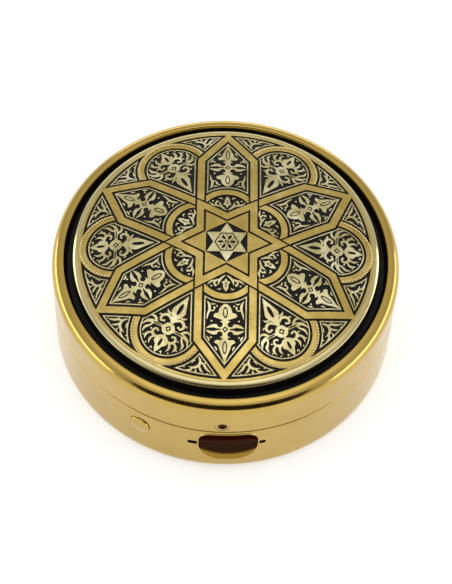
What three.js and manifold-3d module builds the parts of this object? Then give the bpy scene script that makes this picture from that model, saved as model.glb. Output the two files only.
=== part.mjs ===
// Round push-button pill box with a domed inlaid medallion on the lid.
// Millimetres, +Z up. The origin is the centre of the flat underside, the push
// button faces -Y and the hinge is at +Y.

import * as THREE from 'three';
import { mergeVertices } from 'three/addons/utils/BufferGeometryUtils.js';
import Module from 'manifold-3d';

const wasm = await Module();
wasm.setup();

// ---- Driving dimensions ----------------------------------------------------

const SIDES = 48; // facets round every turned piece

// Case
const CASE_R = 22.5; // outside radius of base and lid
const WALL = 0.6; // sheet thickness of both shells
const INNER_R = CASE_R - WALL;
const FOOT_ROUND = 1.1; // rounding under the base
const SEAM_Z = 9.8; // top edge of the base wall
const SEAM_GAP = 0.15;
const LID_Z = SEAM_Z + SEAM_GAP; // lower edge of the lid
const RIM_Z = 16.0; // top of the lid's rim
const SHOULDER = 1.4; // rounding between lid wall and rim
const BEZEL_R = 20.75; // inner edge of the rim
const BEZEL_Z = 15.65;
const DECK_Z = 14.8; // top of the lid's deck, under the medallion
const DECK_LOW_Z = DECK_Z - WALL;
const CORNER = 0.6; // chamfer inside the lid's corner
const FLOOR_CORNER = 0.7; // chamfer inside the base's corner

// Medallion
const MEDAL_R = 19.75;
const DOME_TOP_Z = 19.4;
const DOME_RADIUS = 68.7;
const INLAY_T = 0.15; // thickness of the hammered precious-metal inlay
const PLATE_T = 1.2; // thickness of the black domed plate
const MEDAL_LOW_Z = DECK_Z + 0.1;
const RIM_BAND = 0.75; // width of the bright rim ring
const RIM_BAND_T = 0.4;
const PLATE_EDGE = 0.9; // wall thickness at the plate's edge
const SMALL_GAP = 0.05;

// Collar and tray inside the base
const COLLAR_OUT_R = 21.75;
const COLLAR_IN_R = 21.35;
const COLLAR_LOW_Z = 1.45;
const COLLAR_TOP_Z = 11.2;
const COLLAR_CUT_Z = 9.3; // the spring passes below this height
const LATCH_GAP_DEG = 13.5; // the collar stops this far each side of the front
const SPRING_GAP_DEG = [-41, 17];
const TRAY_R = 21.1;
const TRAY_LOW_Z = 0.75;
const TRAY_TOP_Z = 10.4;
const TRAY_WALL = 0.8;
const TRAY_FLAT_Y = -18.9; // flat front that clears the latch

// Push button and latch
const BUTTON_X = 0.2; // the button sits a little right of the slit's centre
const BUTTON_W = 7.35;
const BUTTON_LOW_Z = 3.3;
const BUTTON_TOP_Z = 9.1;
const BUTTON_TOP_ROUND = 1.0;
const BUTTON_LOW_ROUND = 2.7;
const BUTTON_FACE_R = 22.8;
const BUTTON_BACK_Y = -21.95;
const BUTTON_GAP = 0.15; // window clearance all round
const SLIT_HALF_W = 5.0;
const SLIT_LOW_Z = 6.2;
const SLIT_TOP_Z = 7.0;
const STRIP_HALF_W = 4.7;
const STRIP_FRONT_Y = -21.8;
const STRIP_LOW_Z = 6.35;
const STRIP_TOP_Z = 6.85;
const STEM_HALF_W = 2.2;
const STEM_LOW_Z = 3.9;
const STEM_TOP_Z = 6.1;
const PEG_R = 0.7;
const PEG_HOLE_R = 0.8;
const PEG_Z = 4.75;
const CATCH_FRONT_Y = -20.8;
const CATCH_T = 0.5;
const CATCH_HALF_W = 3.0;
const CATCH_LOW_Z = 3.2;
const CATCH_TOP_Z = 12.2;
const TOOTH_LOW_Z = 11.6;
const TOOTH_TIP_Y = -21.2;
const TOOTH_HALF_W = 2.5;
const STRIKE_TIP_R = 21.4;
const STRIKE_IN_R = 21.65;
const STRIKE_OUT_R = 21.85;
const STRIKE_MOUNT_DEG = 8.5;
const STRIKE_MOUNT_Z = [10.2, 13.0];
const STRIKE_LUG_DEG = 7.5;
const STRIKE_TOP_Z = TOOTH_LOW_Z - 0.1;
const STRIKE_T = 0.6;
const STRIKE_RIVET_Z = 11.3;
const STRIKE_RIVET_DEG = -1.6;
const STRIKE_RIVET_HEAD_R = 0.85;
const STRIKE_SHANK_R = 0.5;
const STRIKE_HOLE_R = 0.6;
const STRIKE_SINK_R = 22.2; // floor of the sink round the rivet's head

// Leaf spring and its rivet
const SPRING_T = 0.25;
const SPRING_H = 2.5;
const SPRING_Z = 6.75;
const SPRING_RIVET_DEG = -29.5;
const RIVET_HEAD_R = 1.45;
const RIVET_SHANK_R = 0.7;
const RIVET_HOLE_R = 0.8;
const SPRING_LINE_R = 21.7; // the spring lies against the wall at this radius
const SPRING_ARM_Y = -20.03;
const SPRING_END_X = 2.6;

// Mirror
const MIRROR_R = 18.15;
const MIRROR_LOW_Z = 12.9;
const MIRROR_TOP_Z = 13.7;
const MIRROR_SEEN_R = 17.0;
const MIRROR_RING_R = 21.5;
const MIRROR_RING_LOW_Z = 12.5;
const MIRROR_RING_TOP_Z = 13.4;

// Hinge
const HINGE_Y = 23.7;
const HINGE_Z = SEAM_Z + SEAM_GAP / 2;
const KNUCKLE_R = 1.1;
const KNUCKLE_NOTCH_R = 1.25;
const CENTRE_KNUCKLE_HALF_W = 1.6;
const HINGE_HALF_W = 4.6;
const PIN_R = 0.5;
const PIN_BORE_R = 0.55;
const PIN_HEAD_R = 0.85;
const PIN_HEAD_T = 0.35;
const KNUCKLE_GAP_X = 0.1;
const LEAF_IN_R = 22.55;
const LEAF_OUT_R = 23.05;
const LEAF_H = 4.0;

// ---- Colours ---------------------------------------------------------------

const GOLD = { color: 0xc9a55c, roughness: 0.28, metalness: 1 };
const BLACK_STEEL = { color: 0x14120f, roughness: 0.35, metalness: 0.6 };
const PALE_GOLD = { color: 0xd9c690, roughness: 0.3, metalness: 1 };
const SPRING_STEEL = { color: 0x9a9a98, roughness: 0.35, metalness: 1 };
const MIRROR = { color: 0xe8ecee, roughness: 0.03, metalness: 1 };
const CARD = { color: 0x6b5a48, roughness: 0.95, metalness: 0 };
const CEMENT = { color: 0x8d8478, roughness: 0.9, metalness: 0 };
const TRAY_PLASTIC = { color: 0xefe9dc, roughness: 0.45, metalness: 0 };

// ---- Solids ----------------------------------------------------------------

function signedVolume(positions, triangles) {
  const a = new THREE.Vector3();
  const b = new THREE.Vector3();
  const c = new THREE.Vector3();
  let volume = 0;
  for (let i = 0; i < triangles.length; i += 3) {
    a.fromArray(positions, 3 * triangles[i]);
    b.fromArray(positions, 3 * triangles[i + 1]);
    c.fromArray(positions, 3 * triangles[i + 2]);
    volume += a.dot(b.cross(c)) / 6;
  }
  return volume;
}

// Turns a closed three.js geometry into a solid that can be joined and cut.
function solid(geometry) {
  const bare = geometry.clone();
  bare.deleteAttribute('normal');
  bare.deleteAttribute('uv');
  const merged = mergeVertices(bare, 1e-4);
  const positions = merged.getAttribute('position').array;
  const index = merged.getIndex().array;
  const triangles = [];
  for (let i = 0; i < index.length; i += 3) {
    const [a, b, c] = [index[i], index[i + 1], index[i + 2]];
    if (a !== b && b !== c && c !== a) triangles.push(a, b, c);
  }
  if (signedVolume(positions, triangles) < 0) triangles.reverse();
  const mesh = new wasm.Mesh({
    numProp: 3,
    vertProperties: new Float32Array(positions),
    triVerts: new Uint32Array(triangles),
  });
  return new wasm.Manifold(mesh);
}

function toGeometry(manifold) {
  const mesh = manifold.getMesh();
  const geometry = new THREE.BufferGeometry();
  geometry.setAttribute('position', new THREE.BufferAttribute(mesh.vertProperties, 3));
  geometry.setIndex(new THREE.BufferAttribute(mesh.triVerts, 1));
  geometry.computeVertexNormals();
  return geometry;
}

// Turned piece: [radius, z] pairs about the Z axis.
function turned(profile, sides = SIDES) {
  const points = profile.map(([r, z]) => new THREE.Vector2(r, z));
  return solid(new THREE.LatheGeometry(points, sides).rotateX(Math.PI / 2));
}

function tube(innerR, outerR, lowZ, topZ) {
  return turned([[innerR, lowZ], [outerR, lowZ], [outerR, topZ], [innerR, topZ], [innerR, lowZ]]);
}

function disc(radius, lowZ, topZ) {
  return turned([[0, lowZ], [radius, lowZ], [radius, topZ], [0, topZ]]);
}

function block(x0, x1, y0, y1, z0, z1) {
  const geometry = new THREE.BoxGeometry(x1 - x0, y1 - y0, z1 - z0);
  return solid(geometry.translate((x0 + x1) / 2, (y0 + y1) / 2, (z0 + z1) / 2));
}

// A plan outline raised from lowZ to topZ.
function raised(shape, lowZ, topZ, curveSegments = 8) {
  const options = { depth: topZ - lowZ, bevelEnabled: false, curveSegments };
  return solid(new THREE.ExtrudeGeometry(shape, options).translate(0, 0, lowZ));
}

// Part of a ring. Bearings are in degrees from the front (-Y) towards +X.
function sector(innerR, outerR, fromDeg, toDeg, lowZ, topZ) {
  const from = THREE.MathUtils.degToRad(fromDeg - 90);
  const to = THREE.MathUtils.degToRad(toDeg - 90);
  const shape = new THREE.Shape();
  shape.absarc(0, 0, outerR, from, to, false);
  shape.absarc(0, 0, innerR, to, from, true);
  shape.closePath();
  return raised(shape, lowZ, topZ);
}

// Turned piece on a level radial axis: [radius, distance from the Z axis] pairs.
function radialPeg(profile, bearingDeg, z) {
  const points = profile.map(([r, out]) => new THREE.Vector2(r, -out));
  const geometry = new THREE.LatheGeometry(points, 20);
  geometry.rotateZ(THREE.MathUtils.degToRad(bearingDeg));
  return solid(geometry.translate(0, 0, z));
}

// Round drill through the wall on the same kind of axis.
function radialDrill(radius, bearingDeg, z) {
  return radialPeg([[0, 20], [radius, 20], [radius, 24], [0, 24]], bearingDeg, z);
}

// Round bar along X on the hinge axis.
function hingeBar(radius, x0, x1) {
  const geometry = new THREE.CylinderGeometry(radius, radius, x1 - x0, 20);
  geometry.rotateZ(Math.PI / 2);
  return solid(geometry.translate((x0 + x1) / 2, HINGE_Y, HINGE_Z));
}

// Quarter round from angle to angle as [r, z] points.
function roundEdge(centreR, centreZ, radius, fromDeg, toDeg, steps) {
  const points = [];
  for (let i = 0; i <= steps; i += 1) {
    const angle = THREE.MathUtils.degToRad(fromDeg + ((toDeg - fromDeg) * i) / steps);
    points.push([centreR + radius * Math.cos(angle), centreZ + radius * Math.sin(angle)]);
  }
  return points;
}

function domeZ(radius) {
  return DOME_TOP_Z - DOME_RADIUS + Math.sqrt(DOME_RADIUS ** 2 - radius ** 2);
}

// [r, z] points along the dome, lowered by drop, from one radius to another.
function domeLine(fromR, toR, drop, steps = 6) {
  const points = [];
  for (let i = 0; i <= steps; i += 1) {
    const r = fromR + ((toR - fromR) * i) / steps;
    points.push([r, domeZ(r) - drop]);
  }
  return points;
}

// ---- Base ------------------------------------------------------------------

function buttonOutline(grow) {
  const half = BUTTON_W / 2 + grow;
  const [x0, x1] = [BUTTON_X - half, BUTTON_X + half];
  const [z0, z1] = [BUTTON_LOW_Z - grow, BUTTON_TOP_Z + grow];
  const top = BUTTON_TOP_ROUND + grow;
  const low = BUTTON_LOW_ROUND + grow;
  const shape = new THREE.Shape();
  shape.absarc(x1 - low, z0 + low, low, -Math.PI / 2, 0, false);
  shape.absarc(x1 - top, z1 - top, top, 0, Math.PI / 2, false);
  shape.absarc(x0 + top, z1 - top, top, Math.PI / 2, Math.PI, false);
  shape.absarc(x0 + low, z0 + low, low, Math.PI, 1.5 * Math.PI, false);
  shape.closePath();
  return shape;
}

// The button's front outline carried along Y from y0 to y1.
function buttonPrism(grow, y0, y1) {
  const options = { depth: y1 - y0, bevelEnabled: false, curveSegments: 4 };
  const geometry = new THREE.ExtrudeGeometry(buttonOutline(grow), options);
  return solid(geometry.rotateX(Math.PI / 2).translate(0, y1, 0));
}

function baseShell() {
  const foot = roundEdge(CASE_R - FOOT_ROUND, FOOT_ROUND, FOOT_ROUND, -90, 0, 3);
  const corner = [[INNER_R, WALL + FLOOR_CORNER], [INNER_R - FLOOR_CORNER, WALL]];
  const cup = turned([[0, 0], ...foot, [CASE_R, SEAM_Z], [INNER_R, SEAM_Z], ...corner, [0, WALL]]);
  const slit = block(-SLIT_HALF_W, SLIT_HALF_W, -23, -20, SLIT_LOW_Z, SLIT_TOP_Z);
  return cup
    .subtract(buttonPrism(BUTTON_GAP, -23, -20))
    .subtract(slit)
    .subtract(radialDrill(RIVET_HOLE_R, SPRING_RIVET_DEG, SPRING_Z));
}

function baseCollar() {
  const ring = tube(COLLAR_IN_R, COLLAR_OUT_R, COLLAR_LOW_Z, COLLAR_TOP_Z);
  const latchGap = sector(20, 23, -LATCH_GAP_DEG, LATCH_GAP_DEG, 0, 12);
  const springGap = sector(20, 23, ...SPRING_GAP_DEG, 0, COLLAR_CUT_Z);
  return ring.subtract(latchGap).subtract(springGap);
}

function pillTray() {
  const outside = disc(TRAY_R, TRAY_LOW_Z, TRAY_TOP_Z);
  const front = block(-25, 25, -25, TRAY_FLAT_Y, 0, 12);
  const floorZ = TRAY_LOW_Z + TRAY_WALL;
  const hollow = disc(TRAY_R - TRAY_WALL, floorZ, 12)
    .subtract(block(-25, 25, -25, TRAY_FLAT_Y + TRAY_WALL, 0, 13))
    .subtract(block(-25, 25, -TRAY_WALL / 2, TRAY_WALL / 2, 0, 13))
    .subtract(block(-TRAY_WALL / 2, TRAY_WALL / 2, -25, 0, 0, 13));
  return outside.subtract(front).subtract(hollow);
}

function leafSpring() {
  const along = [];
  for (let deg = -38; deg <= -20; deg += 3) {
    const bearing = THREE.MathUtils.degToRad(deg);
    const point = new THREE.Vector2(Math.sin(bearing), -Math.cos(bearing));
    along.push(point.multiplyScalar(SPRING_LINE_R));
  }
  along.push(new THREE.Vector2(-5.2, SPRING_ARM_Y - 0.17));
  along.push(new THREE.Vector2(-3.9, SPRING_ARM_Y));
  along.push(new THREE.Vector2(SPRING_END_X, SPRING_ARM_Y));
  const sideways = along.map((point, i) => {
    const before = along[Math.max(i - 1, 0)];
    const after = along[Math.min(i + 1, along.length - 1)];
    const step = after.clone().sub(before).normalize();
    return new THREE.Vector2(-step.y, step.x).multiplyScalar(SPRING_T / 2);
  });
  const left = along.map((point, i) => point.clone().add(sideways[i]));
  const right = along.map((point, i) => point.clone().sub(sideways[i])).reverse();
  const outline = new THREE.Shape([...left, ...right]);
  const strip = raised(outline, SPRING_Z - SPRING_H / 2, SPRING_Z + SPRING_H / 2);
  return strip.subtract(radialDrill(RIVET_HOLE_R, SPRING_RIVET_DEG, SPRING_Z));
}

function springRivet() {
  const head = RIVET_HEAD_R;
  return radialPeg(
    [
      [0, 21.2], [1.0, 21.2], [1.0, 21.5], [RIVET_SHANK_R, 21.5], [RIVET_SHANK_R, 22.55],
      [head, 22.55], [head, 22.62], [head * 0.8, 22.75], [head * 0.4, 22.82], [0, 22.84],
    ],
    SPRING_RIVET_DEG,
    SPRING_Z,
  );
}

// ---- Hinge -----------------------------------------------------------------

function hingeLeaf(lowZ) {
  const half = THREE.MathUtils.radToDeg(Math.asin(HINGE_HALF_W / LEAF_OUT_R));
  return sector(LEAF_IN_R, LEAF_OUT_R, 180 - half, 180 + half, lowZ, lowZ + LEAF_H);
}

function pinBore() {
  return hingeBar(PIN_BORE_R, -6, 6);
}

function lidHingeLeaf() {
  const half = CENTRE_KNUCKLE_HALF_W;
  return hingeLeaf(LID_Z + SEAM_GAP)
    .subtract(hingeBar(KNUCKLE_NOTCH_R, half, 8))
    .subtract(hingeBar(KNUCKLE_NOTCH_R, -8, -half))
    .add(hingeBar(KNUCKLE_R, -half, half))
    .subtract(pinBore());
}

function baseHingeLeaf() {
  const inner = CENTRE_KNUCKLE_HALF_W + KNUCKLE_GAP_X;
  return hingeLeaf(SEAM_Z - SEAM_GAP - LEAF_H)
    .subtract(hingeBar(KNUCKLE_NOTCH_R, -inner, inner))
    .add(hingeBar(KNUCKLE_R, inner, HINGE_HALF_W))
    .add(hingeBar(KNUCKLE_R, -HINGE_HALF_W, -inner))
    .subtract(pinBore());
}

function hingePin() {
  const end = HINGE_HALF_W + SMALL_GAP;
  const headEnd = end + PIN_HEAD_T;
  return hingeBar(PIN_R, -headEnd, headEnd)
    .add(hingeBar(PIN_HEAD_R, end, headEnd))
    .add(hingeBar(PIN_HEAD_R, -headEnd, -end));
}

// ---- Push button -----------------------------------------------------------

function pushButton() {
  const cap = buttonPrism(0, -24, BUTTON_BACK_Y).intersect(disc(BUTTON_FACE_R, 0, 12));
  const stemBack = CATCH_FRONT_Y - SMALL_GAP;
  const [x0, x1] = [BUTTON_X - STEM_HALF_W, BUTTON_X + STEM_HALF_W];
  const stem = block(x0, x1, BUTTON_BACK_Y - 0.1, stemBack, STEM_LOW_Z, STEM_TOP_Z);
  const peg = new THREE.CylinderGeometry(PEG_R, PEG_R, 2 * CATCH_T, 16);
  peg.translate(BUTTON_X, CATCH_FRONT_Y, PEG_Z);
  return cap.add(stem).add(solid(peg));
}

function guideStrip() {
  const back = CATCH_FRONT_Y - SMALL_GAP;
  return block(-STRIP_HALF_W, STRIP_HALF_W, STRIP_FRONT_Y, back, STRIP_LOW_Z, STRIP_TOP_Z);
}

function catchPlate() {
  const back = CATCH_FRONT_Y + CATCH_T;
  const plate = block(-CATCH_HALF_W, CATCH_HALF_W, CATCH_FRONT_Y, back, CATCH_LOW_Z, CATCH_TOP_Z);
  const [x0, x1] = [-TOOTH_HALF_W, TOOTH_HALF_W];
  const tooth = block(x0, x1, TOOTH_TIP_Y, CATCH_FRONT_Y + 0.1, TOOTH_LOW_Z, CATCH_TOP_Z);
  const pegHole = new THREE.CylinderGeometry(PEG_HOLE_R, PEG_HOLE_R, 2, 16);
  pegHole.translate(BUTTON_X, CATCH_FRONT_Y + CATCH_T / 2, PEG_Z);
  return plate.add(tooth).subtract(solid(pegHole));
}

// ---- Lid -------------------------------------------------------------------

function strikeRivetHole() {
  const head = STRIKE_RIVET_HEAD_R + 0.1;
  const sink = STRIKE_SINK_R - SMALL_GAP;
  const shank = [[0, 21], [STRIKE_HOLE_R, 21], [STRIKE_HOLE_R, sink]];
  return radialPeg([...shank, [head, sink], [head, 23], [0, 23]], STRIKE_RIVET_DEG, STRIKE_RIVET_Z);
}

function lidShell() {
  const shoulder = roundEdge(CASE_R - SHOULDER, RIM_Z - SHOULDER, SHOULDER, 0, 90, 4);
  const corner = [[INNER_R - CORNER, DECK_LOW_Z], [INNER_R, DECK_LOW_Z - CORNER]];
  const channel = [[BEZEL_R, BEZEL_Z], [BEZEL_R - 0.15, DECK_Z], [0, DECK_Z]];
  const skirt = [[INNER_R, LID_Z], [CASE_R, LID_Z]];
  const cap = turned([[0, DECK_LOW_Z], ...corner, ...skirt, ...shoulder, ...channel]);
  return cap.subtract(strikeRivetHole());
}

function lidStrike() {
  const half = STRIKE_LUG_DEG;
  const lugZ = [STRIKE_TOP_Z - STRIKE_T, STRIKE_TOP_Z];
  return sector(STRIKE_IN_R, STRIKE_OUT_R, -STRIKE_MOUNT_DEG, STRIKE_MOUNT_DEG, ...STRIKE_MOUNT_Z)
    .add(sector(STRIKE_TIP_R, STRIKE_OUT_R, -half, half, ...lugZ))
    .subtract(radialDrill(STRIKE_HOLE_R, STRIKE_RIVET_DEG, STRIKE_RIVET_Z));
}

function strikeRivet() {
  const head = STRIKE_RIVET_HEAD_R;
  const shank = [[0, 21.45], [STRIKE_SHANK_R, 21.45], [STRIKE_SHANK_R, STRIKE_SINK_R]];
  const profile = [...shank, [head, STRIKE_SINK_R], [head, 22.4], [0, 22.45]];
  return radialPeg(profile, STRIKE_RIVET_DEG, STRIKE_RIVET_Z);
}

function medallionPlate() {
  const ringIn = MEDAL_R - RIM_BAND;
  const ledge = domeZ(MEDAL_R) - RIM_BAND_T - SMALL_GAP;
  const top = domeLine(0, ringIn, INLAY_T + SMALL_GAP);
  const hollowR = ringIn - PLATE_EDGE;
  const under = domeLine(hollowR, 0, INLAY_T + SMALL_GAP + PLATE_T);
  const foot = [[MEDAL_R + 0.1, MEDAL_LOW_Z], [hollowR, MEDAL_LOW_Z]];
  const side = [[ringIn, ledge], [MEDAL_R, ledge], ...foot];
  return turned([...top, ...side, ...under]);
}

function medallionInlay() {
  const edge = MEDAL_R - RIM_BAND;
  return turned([...domeLine(0, edge, 0), ...domeLine(edge, 0, INLAY_T)]);
}

function medallionRim() {
  const inner = MEDAL_R - RIM_BAND + SMALL_GAP;
  const low = domeZ(MEDAL_R) - RIM_BAND_T;
  const top = [[MEDAL_R, domeZ(MEDAL_R)], [inner, domeZ(inner)]];
  return turned([[inner, low], [MEDAL_R, low], ...top, [inner, low]]);
}

function medallionCement() {
  const edge = MEDAL_R - RIM_BAND - PLATE_EDGE - 4 * SMALL_GAP;
  const top = domeLine(edge, 0, INLAY_T + PLATE_T + 4 * SMALL_GAP, 4);
  return turned([[0, MEDAL_LOW_Z], [edge, MEDAL_LOW_Z], ...top]);
}

function mirrorRing() {
  const seatR = MIRROR_R + 0.15;
  const front = [[MIRROR_SEEN_R, MIRROR_RING_LOW_Z], [seatR - 0.1, MIRROR_RING_LOW_Z]];
  const flange = [[MIRROR_RING_R, 13.05], [MIRROR_RING_R, MIRROR_RING_TOP_Z]];
  const seat = [[seatR, MIRROR_RING_TOP_Z], [seatR, MIRROR_LOW_Z - SMALL_GAP]];
  const lip = [[MIRROR_SEEN_R, MIRROR_LOW_Z - 0.1], front[0]];
  return turned([...front, [seatR + 0.3, MIRROR_LOW_Z], ...flange, ...seat, ...lip]);
}

// ---- Assembly --------------------------------------------------------------

const group = new THREE.Group();

function addPiece(name, piece, look) {
  const mesh = new THREE.Mesh(toGeometry(piece), new THREE.MeshStandardMaterial(look));
  mesh.name = name;
  group.add(mesh);
}

addPiece('base_shell', baseShell(), GOLD);
addPiece('base_collar', baseCollar(), GOLD);
addPiece('pill_tray', pillTray(), TRAY_PLASTIC);
addPiece('leaf_spring', leafSpring(), SPRING_STEEL);
addPiece('spring_rivet', springRivet(), GOLD);
addPiece('base_hinge_leaf', baseHingeLeaf(), GOLD);
addPiece('hinge_pin', hingePin(), SPRING_STEEL);
addPiece('push_button', pushButton(), GOLD);
addPiece('guide_strip', guideStrip(), SPRING_STEEL);
addPiece('catch_plate', catchPlate(), SPRING_STEEL);
addPiece('lid_shell', lidShell(), GOLD);
addPiece('lid_hinge_leaf', lidHingeLeaf(), GOLD);
addPiece('lid_strike', lidStrike(), GOLD);
addPiece('strike_rivet', strikeRivet(), GOLD);
addPiece('medallion_plate', medallionPlate(), BLACK_STEEL);
addPiece('medallion_inlay', medallionInlay(), PALE_GOLD);
addPiece('medallion_rim', medallionRim(), PALE_GOLD);
addPiece('medallion_cement', medallionCement(), CEMENT);
addPiece('mirror_glass', disc(MIRROR_R, MIRROR_LOW_Z, MIRROR_TOP_Z), MIRROR);
addPiece('mirror_backing', disc(MIRROR_R, MIRROR_TOP_Z + SMALL_GAP, DECK_LOW_Z - SMALL_GAP), CARD);
addPiece('mirror_ring', mirrorRing(), GOLD);

export default group;
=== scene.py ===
# Round push-button pill box with a domed inlaid medallion.
# Lengths in the helpers are millimetres in the CAD frame; meshes are stored in metres.

import math

import bmesh
import bpy
from mathutils import Matrix, Vector
from mathutils.geometry import delaunay_2d_cdt

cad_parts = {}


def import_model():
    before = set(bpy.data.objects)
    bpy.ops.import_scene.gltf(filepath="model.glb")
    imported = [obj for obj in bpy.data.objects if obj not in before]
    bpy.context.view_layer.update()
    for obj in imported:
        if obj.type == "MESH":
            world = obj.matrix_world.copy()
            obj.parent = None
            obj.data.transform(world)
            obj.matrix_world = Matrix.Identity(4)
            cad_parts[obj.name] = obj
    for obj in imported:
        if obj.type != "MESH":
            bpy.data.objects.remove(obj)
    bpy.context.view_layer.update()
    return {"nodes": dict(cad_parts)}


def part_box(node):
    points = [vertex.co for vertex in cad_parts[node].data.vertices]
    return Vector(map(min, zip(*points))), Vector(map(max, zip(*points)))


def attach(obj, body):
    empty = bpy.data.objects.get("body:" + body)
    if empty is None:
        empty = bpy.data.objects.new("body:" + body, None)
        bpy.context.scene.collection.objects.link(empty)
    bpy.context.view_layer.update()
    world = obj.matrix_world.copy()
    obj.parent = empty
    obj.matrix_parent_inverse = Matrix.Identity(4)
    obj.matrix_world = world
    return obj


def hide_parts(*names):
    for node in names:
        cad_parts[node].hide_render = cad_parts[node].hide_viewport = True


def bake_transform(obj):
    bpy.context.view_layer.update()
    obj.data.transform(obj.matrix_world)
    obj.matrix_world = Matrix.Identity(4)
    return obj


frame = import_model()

MM = 0.001


def low(node):
    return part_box(node)[0] / MM


def high(node):
    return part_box(node)[1] / MM


# ---- Dimensions taken from the CAD frame -----------------------------------

CASE_R = high("base_shell").x
SEAM_Z = high("base_shell").z
LID_Z = low("lid_shell").z
RIM_Z = high("lid_shell").z
DOME_TOP_Z = high("medallion_inlay").z
INLAY_R = high("medallion_inlay").x
MEDAL_R = high("medallion_rim").x
MEDAL_LOW_Z = low("medallion_plate").z
DECK_Z = MEDAL_LOW_Z - 0.1  # top of the lid's deck, just under the medallion
BEZEL_R = 20.75  # inner edge of the lid's rim
WALL = 0.6
INNER_R = CASE_R - WALL
DOME_RADIUS = 68.7
RELIEF = 0.1  # how far the inlay stands above the black ground
INLAY_T = RELIEF + 0.03  # the inlay's foot is sunk in the ground
ROUND_STEPS = 256


def dome_z(r, drop=0.0):
    """Height of the domed inlay at a radius, less a drop."""
    return DOME_TOP_Z - DOME_RADIUS + math.sqrt(DOME_RADIUS ** 2 - r ** 2) - drop


def outward(bearing, elevation=0.0):
    """Unit vector away from the box; bearings in degrees from the front towards +X."""
    a, e = math.radians(bearing), math.radians(elevation)
    return Vector((math.sin(a) * math.cos(e), -math.cos(a) * math.cos(e), math.sin(e)))


# ---- Materials ---------------------------------------------------------------

class Look:
    """A node material with short calls for the nodes that it needs."""

    def __init__(self, name, **sockets):
        self.material = bpy.data.materials.new(name)
        self.material.use_nodes = True
        self.nodes = self.material.node_tree.nodes
        self.links = self.material.node_tree.links
        self.shader = self.nodes["Principled BSDF"]
        for socket, value in sockets.items():
            self.shader.inputs[socket.replace("_", " ")].default_value = value
        self.coords = self.nodes.new("ShaderNodeTexCoord").outputs["Object"]

    def scaled(self, x, y, z):
        """The object's own coordinates, stretched."""
        mapping = self.nodes.new("ShaderNodeMapping")
        mapping.inputs["Scale"].default_value = (x, y, z)
        self.links.new(self.coords, mapping.inputs["Vector"])
        return mapping.outputs["Vector"]

    def noise(self, scale, detail=3.0, vector=None, roughness=0.55):
        node = self.nodes.new("ShaderNodeTexNoise")
        node.inputs["Scale"].default_value = scale
        node.inputs["Detail"].default_value = detail
        node.inputs["Roughness"].default_value = roughness
        self.links.new(vector or self.coords, node.inputs["Vector"])
        return node.outputs["Fac"]

    def ramp(self, value, stops):
        node = self.nodes.new("ShaderNodeValToRGB")
        elements = node.color_ramp.elements
        while len(elements) < len(stops):
            elements.new(0.5)
        for element, (position, color) in zip(elements, stops):
            element.position = position
            element.color = (*color, 1.0)
        self.links.new(value, node.inputs["Fac"])
        return node.outputs["Color"]

    def range(self, value, to_low, to_high, from_low=0.0, from_high=1.0):
        node = self.nodes.new("ShaderNodeMapRange")
        node.inputs["From Min"].default_value = from_low
        node.inputs["From Max"].default_value = from_high
        node.inputs["To Min"].default_value = to_low
        node.inputs["To Max"].default_value = to_high
        self.links.new(value, node.inputs["Value"])
        return node.outputs["Result"]

    def math(self, operation, first, second):
        node = self.nodes.new("ShaderNodeMath")
        node.operation = operation
        self.links.new(first, node.inputs[0])
        if isinstance(second, (int, float)):
            node.inputs[1].default_value = second
        else:
            self.links.new(second, node.inputs[1])
        return node.outputs[0]

    def set(self, socket, value):
        self.links.new(value, self.shader.inputs[socket])

    def bump(self, *layers, start=None):
        """Each layer is (height, strength, distance in mm)."""
        normal = start
        for height, strength, distance in layers:
            node = self.nodes.new("ShaderNodeBump")
            node.inputs["Strength"].default_value = strength
            node.inputs["Distance"].default_value = distance * MM
            self.links.new(height, node.inputs["Height"])
            if normal:
                self.links.new(normal, node.inputs["Normal"])
            normal = node.outputs["Normal"]
        self.set("Normal", normal)


def metal(name, dark, light, rough_low, rough_high, grain=0.25, brushed=(1, 1, 1)):
    """Plated metal with slight colour drift, uneven polish and fine surface grain."""
    look = Look(name, Metallic=1.0)
    drift = look.noise(120.0, 4.0)
    look.set("Base Color", look.ramp(drift, [(0.3, dark), (0.7, light)]))
    smears = look.noise(420.0, 5.0, look.scaled(*brushed))
    look.set("Roughness", look.range(smears, rough_low, rough_high, 0.3, 0.7))
    grit = look.noise(9000.0, 3.0, look.scaled(*brushed))
    waves = look.noise(260.0, 2.0)
    look.bump((grit, grain, 0.003), (waves, 0.06, 0.02))
    return look.material


GOLD = metal("gold_plate", (0.47, 0.32, 0.08), (0.53, 0.365, 0.095), 0.13, 0.2)
GOLD_INNER = metal("gold_inner", (0.52, 0.36, 0.11), (0.6, 0.42, 0.14), 0.12, 0.2)


def inlay_metal(name, deep, mid, pale, grain):
    """Hammered inlay: drifting tone, small hammer marks and softened edges."""
    look = Look(name, Metallic=1.0)
    tone = look.noise(330.0, 4.0, roughness=0.65)
    look.set("Base Color", look.ramp(tone, [(0.3, deep), (0.5, mid), (0.68, pale)]))
    look.set("Roughness", look.range(look.noise(1400.0, 4.0), 0.16, 0.34, 0.3, 0.7))
    soft_edge = look.nodes.new("ShaderNodeBevel")
    soft_edge.inputs["Radius"].default_value = 0.09 * MM
    hammer = look.noise(2600.0, 2.0)
    dents = look.noise(700.0, 2.0)
    look.bump((hammer, grain, 0.02), (dents, 0.3, 0.04), start=soft_edge.outputs["Normal"])
    return look.material


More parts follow.
